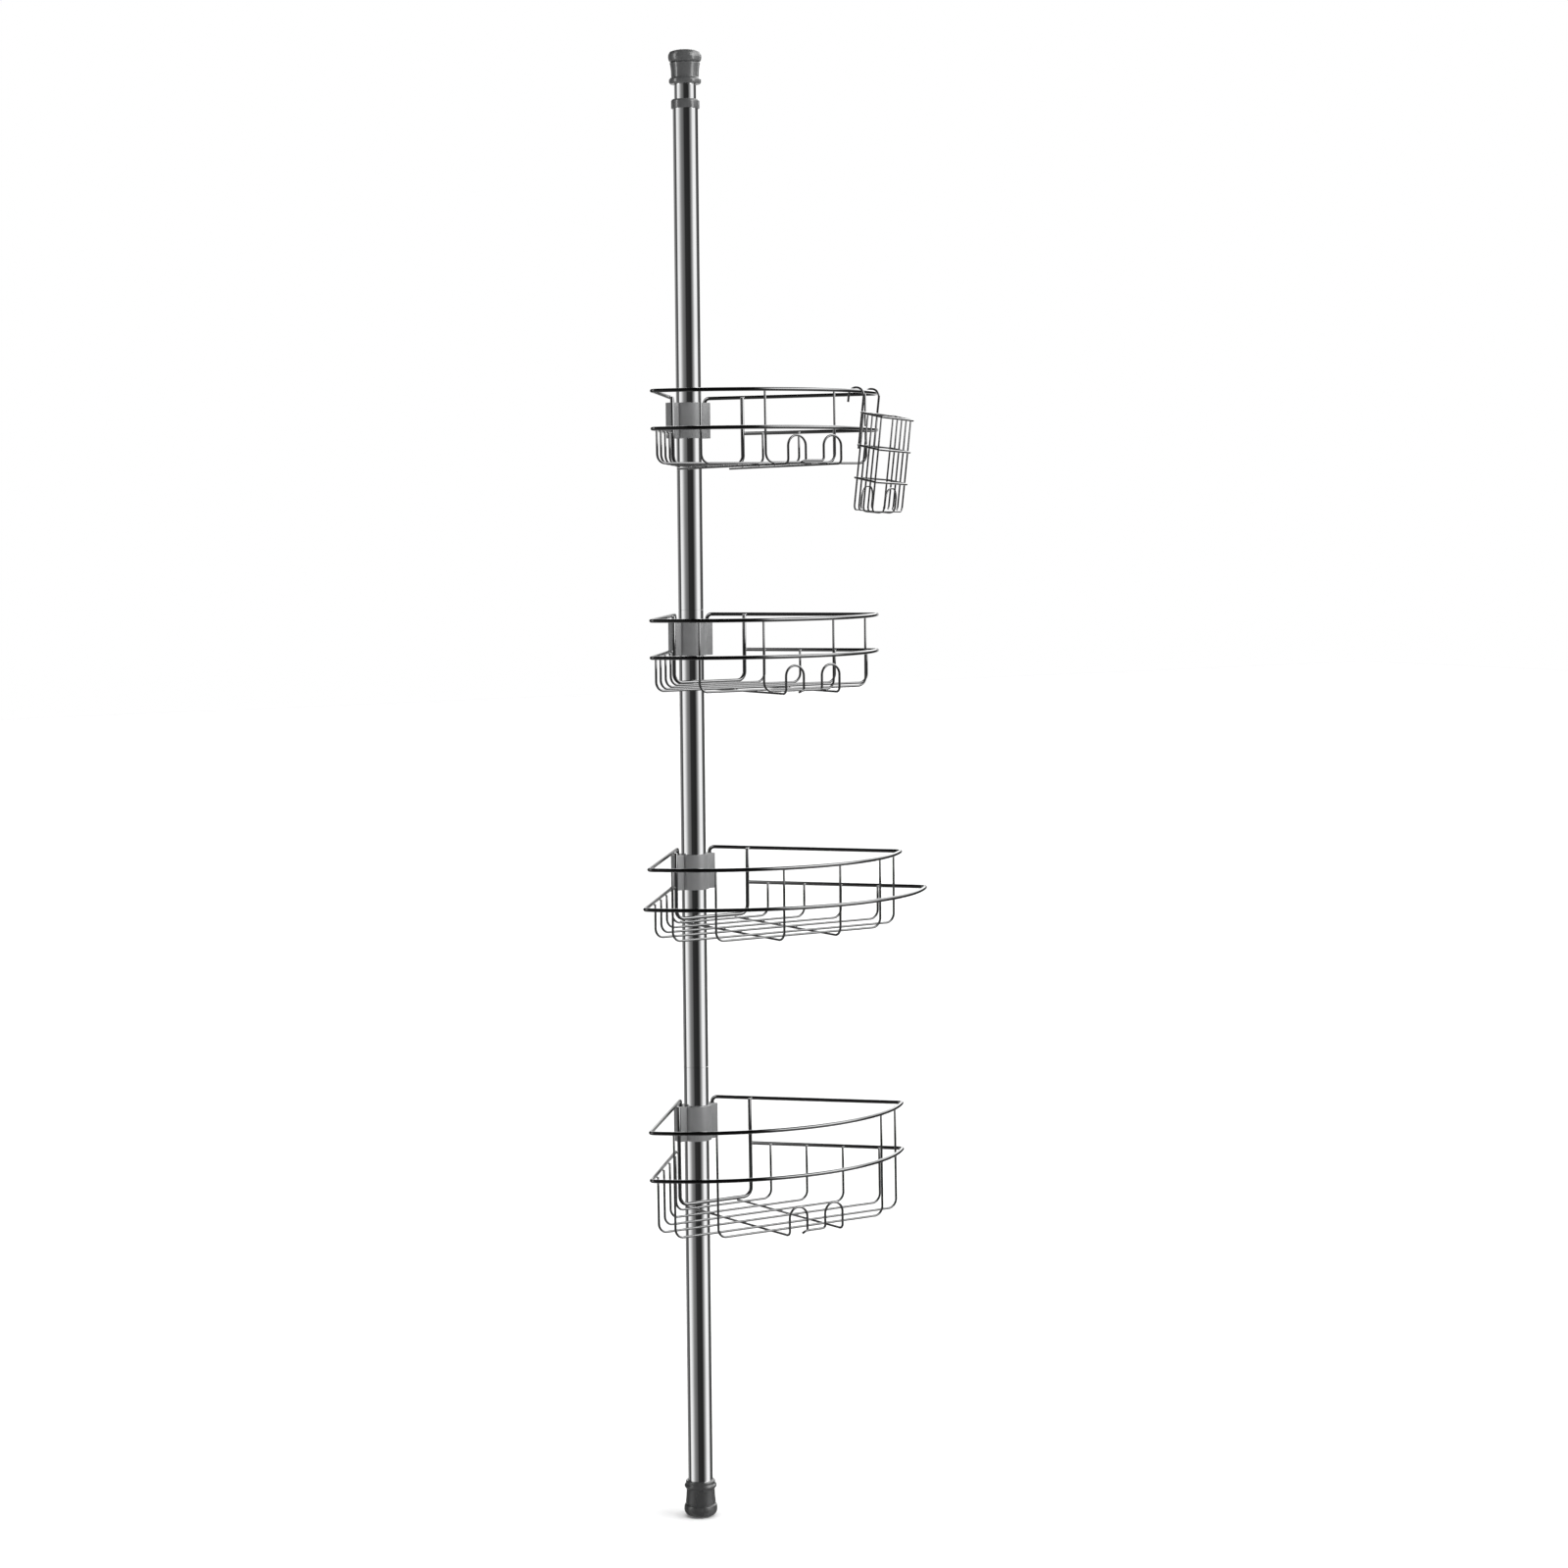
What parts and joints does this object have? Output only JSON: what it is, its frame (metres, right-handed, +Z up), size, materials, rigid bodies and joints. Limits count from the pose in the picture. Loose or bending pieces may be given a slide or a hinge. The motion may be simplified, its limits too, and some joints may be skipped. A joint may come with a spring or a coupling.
{
  "type": "shower caddy",
  "caption": "Corner shower caddy: wire corner shelves that slide and swivel on a spring-loaded floor-to-ceiling chrome pole, with a small wire basket hooked on the top shelf.",
  "frame": {"origin": "centre of the foot's flat underside, on the pole's axis", "axes": "+Z up the pole to the ceiling pad; -Y out of the room corner along the shelves' line of symmetry; +X to the right seen from in front of the shelves"},
  "size_m": [0.3304, 0.2706, 1.5],
  "materials": {
    "chrome": "bright polished chrome plate",
    "spring_steel": "plain drawn steel",
    "grey_plastic": "moulded mid-grey plastic, satin",
    "bush_plastic": "natural light grey moulded plastic",
    "cap_rubber": "soft grey rubber",
    "foot_rubber": "dark grey rubber"
  },
  "bodies": {
    "pole": {"foot_pad": "foot_rubber", "lower_tube": "chrome", "middle_tube": "chrome", "upper_tube": "chrome", "lower_coupler": "spring_steel", "upper_coupler": "spring_steel", "tube_collar": "grey_plastic", "spring_seat": "bush_plastic", "tension_spring": "spring_steel"},
    "tension_head": {"inner_tube": "chrome", "inner_tube_guide": "bush_plastic", "top_cap": "grey_plastic", "top_pad": "cap_rubber"},
    "slider1": {"shelf1_split_bush": "bush_plastic"},
    "shelf1": {"shelf1_clamp": "grey_plastic", "shelf1_top_rim": "chrome", "shelf1_middle_ring": "chrome", "shelf1_back_frame": "chrome", "shelf1_side_wire_1": "chrome", "shelf1_side_wire_2": "chrome", "shelf1_side_wire_3": "chrome", "shelf1_side_wire_4": "chrome", "shelf1_front_cage": "chrome"},
    "slider2": {"shelf2_split_bush": "bush_plastic"},
    "shelf2": {"shelf2_clamp": "grey_plastic", "shelf2_top_rim": "chrome", "shelf2_middle_ring": "chrome", "shelf2_back_frame": "chrome", "shelf2_side_wire_1": "chrome", "shelf2_side_wire_2": "chrome", "shelf2_side_wire_3": "chrome", "shelf2_side_wire_4": "chrome", "shelf2_front_cage": "chrome"},
    "slider3": {"shelf3_split_bush": "bush_plastic"},
    "shelf3": {"shelf3_clamp": "grey_plastic", "shelf3_top_rim": "chrome", "shelf3_middle_ring": "chrome", "shelf3_back_frame": "chrome", "shelf3_side_wire_1": "chrome", "shelf3_side_wire_2": "chrome", "shelf3_side_wire_3": "chrome", "shelf3_side_wire_4": "chrome", "shelf3_front_cage": "chrome"},
    "slider4": {"shelf4_split_bush": "bush_plastic"},
    "shelf4": {"shelf4_clamp": "grey_plastic", "shelf4_top_rim": "chrome", "shelf4_middle_ring": "chrome", "shelf4_back_frame": "chrome", "shelf4_side_wire_1": "chrome", "shelf4_side_wire_2": "chrome", "shelf4_side_wire_3": "chrome", "shelf4_side_wire_4": "chrome", "shelf4_front_cage": "chrome"},
    "hanging_basket": {"hanging_top_ring": "chrome", "hanging_middle_ring": "chrome", "hanging_lower_ring": "chrome", "hanging_wire_cage": "chrome", "hanging_hook_left": "chrome", "hanging_hook_right": "chrome"}
  },
  "joints": [
    {"name": "head_spring_travel", "type": "slide", "parent": "pole", "child": "tension_head", "axis": [0, 0, 1], "range_m": [-0.0125, 0], "stiffness_N_per_m": 4000, "springref_m": 0.005, "deforming": ["tension_spring"]},
    {"name": "shelf1_height", "type": "slide", "parent": "pole", "child": "slider1", "axis": [0, 0, 1], "range_m": [-0.045, 0.27]},
    {"name": "shelf1_swivel", "type": "hinge", "parent": "slider1", "child": "shelf1", "pos_m": [0, 0, 0], "axis": [0, 0, 1], "continuous": true},
    {"name": "shelf2_height", "type": "slide", "parent": "pole", "child": "slider2", "axis": [0, 0, 1], "range_m": [-0.07, 0.045]},
    {"name": "shelf2_swivel", "type": "hinge", "parent": "slider2", "child": "shelf2", "pos_m": [0, 0, 0], "axis": [0, 0, 1], "continuous": true},
    {"name": "shelf3_height", "type": "slide", "parent": "pole", "child": "slider3", "axis": [0, 0, 1], "range_m": [-0.08, 0.08]},
    {"name": "shelf3_swivel", "type": "hinge", "parent": "slider3", "child": "shelf3", "pos_m": [0, 0, 0], "axis": [0, 0, 1], "continuous": true},
    {"name": "shelf4_height", "type": "slide", "parent": "pole", "child": "slider4", "axis": [0, 0, 1], "range_m": [-0.25, 0.08]},
    {"name": "shelf4_swivel", "type": "hinge", "parent": "slider4", "child": "shelf4", "pos_m": [0, 0, 0], "axis": [0, 0, 1], "continuous": true},
    {"name": "hanging_basket_swing", "type": "hinge", "parent": "shelf1", "child": "hanging_basket", "pos_m": [0.09434, -0.17622, 1.15471], "axis": [-0.8222, -0.5691, 0.0067], "range_deg": [0, 75]}
  ]
}
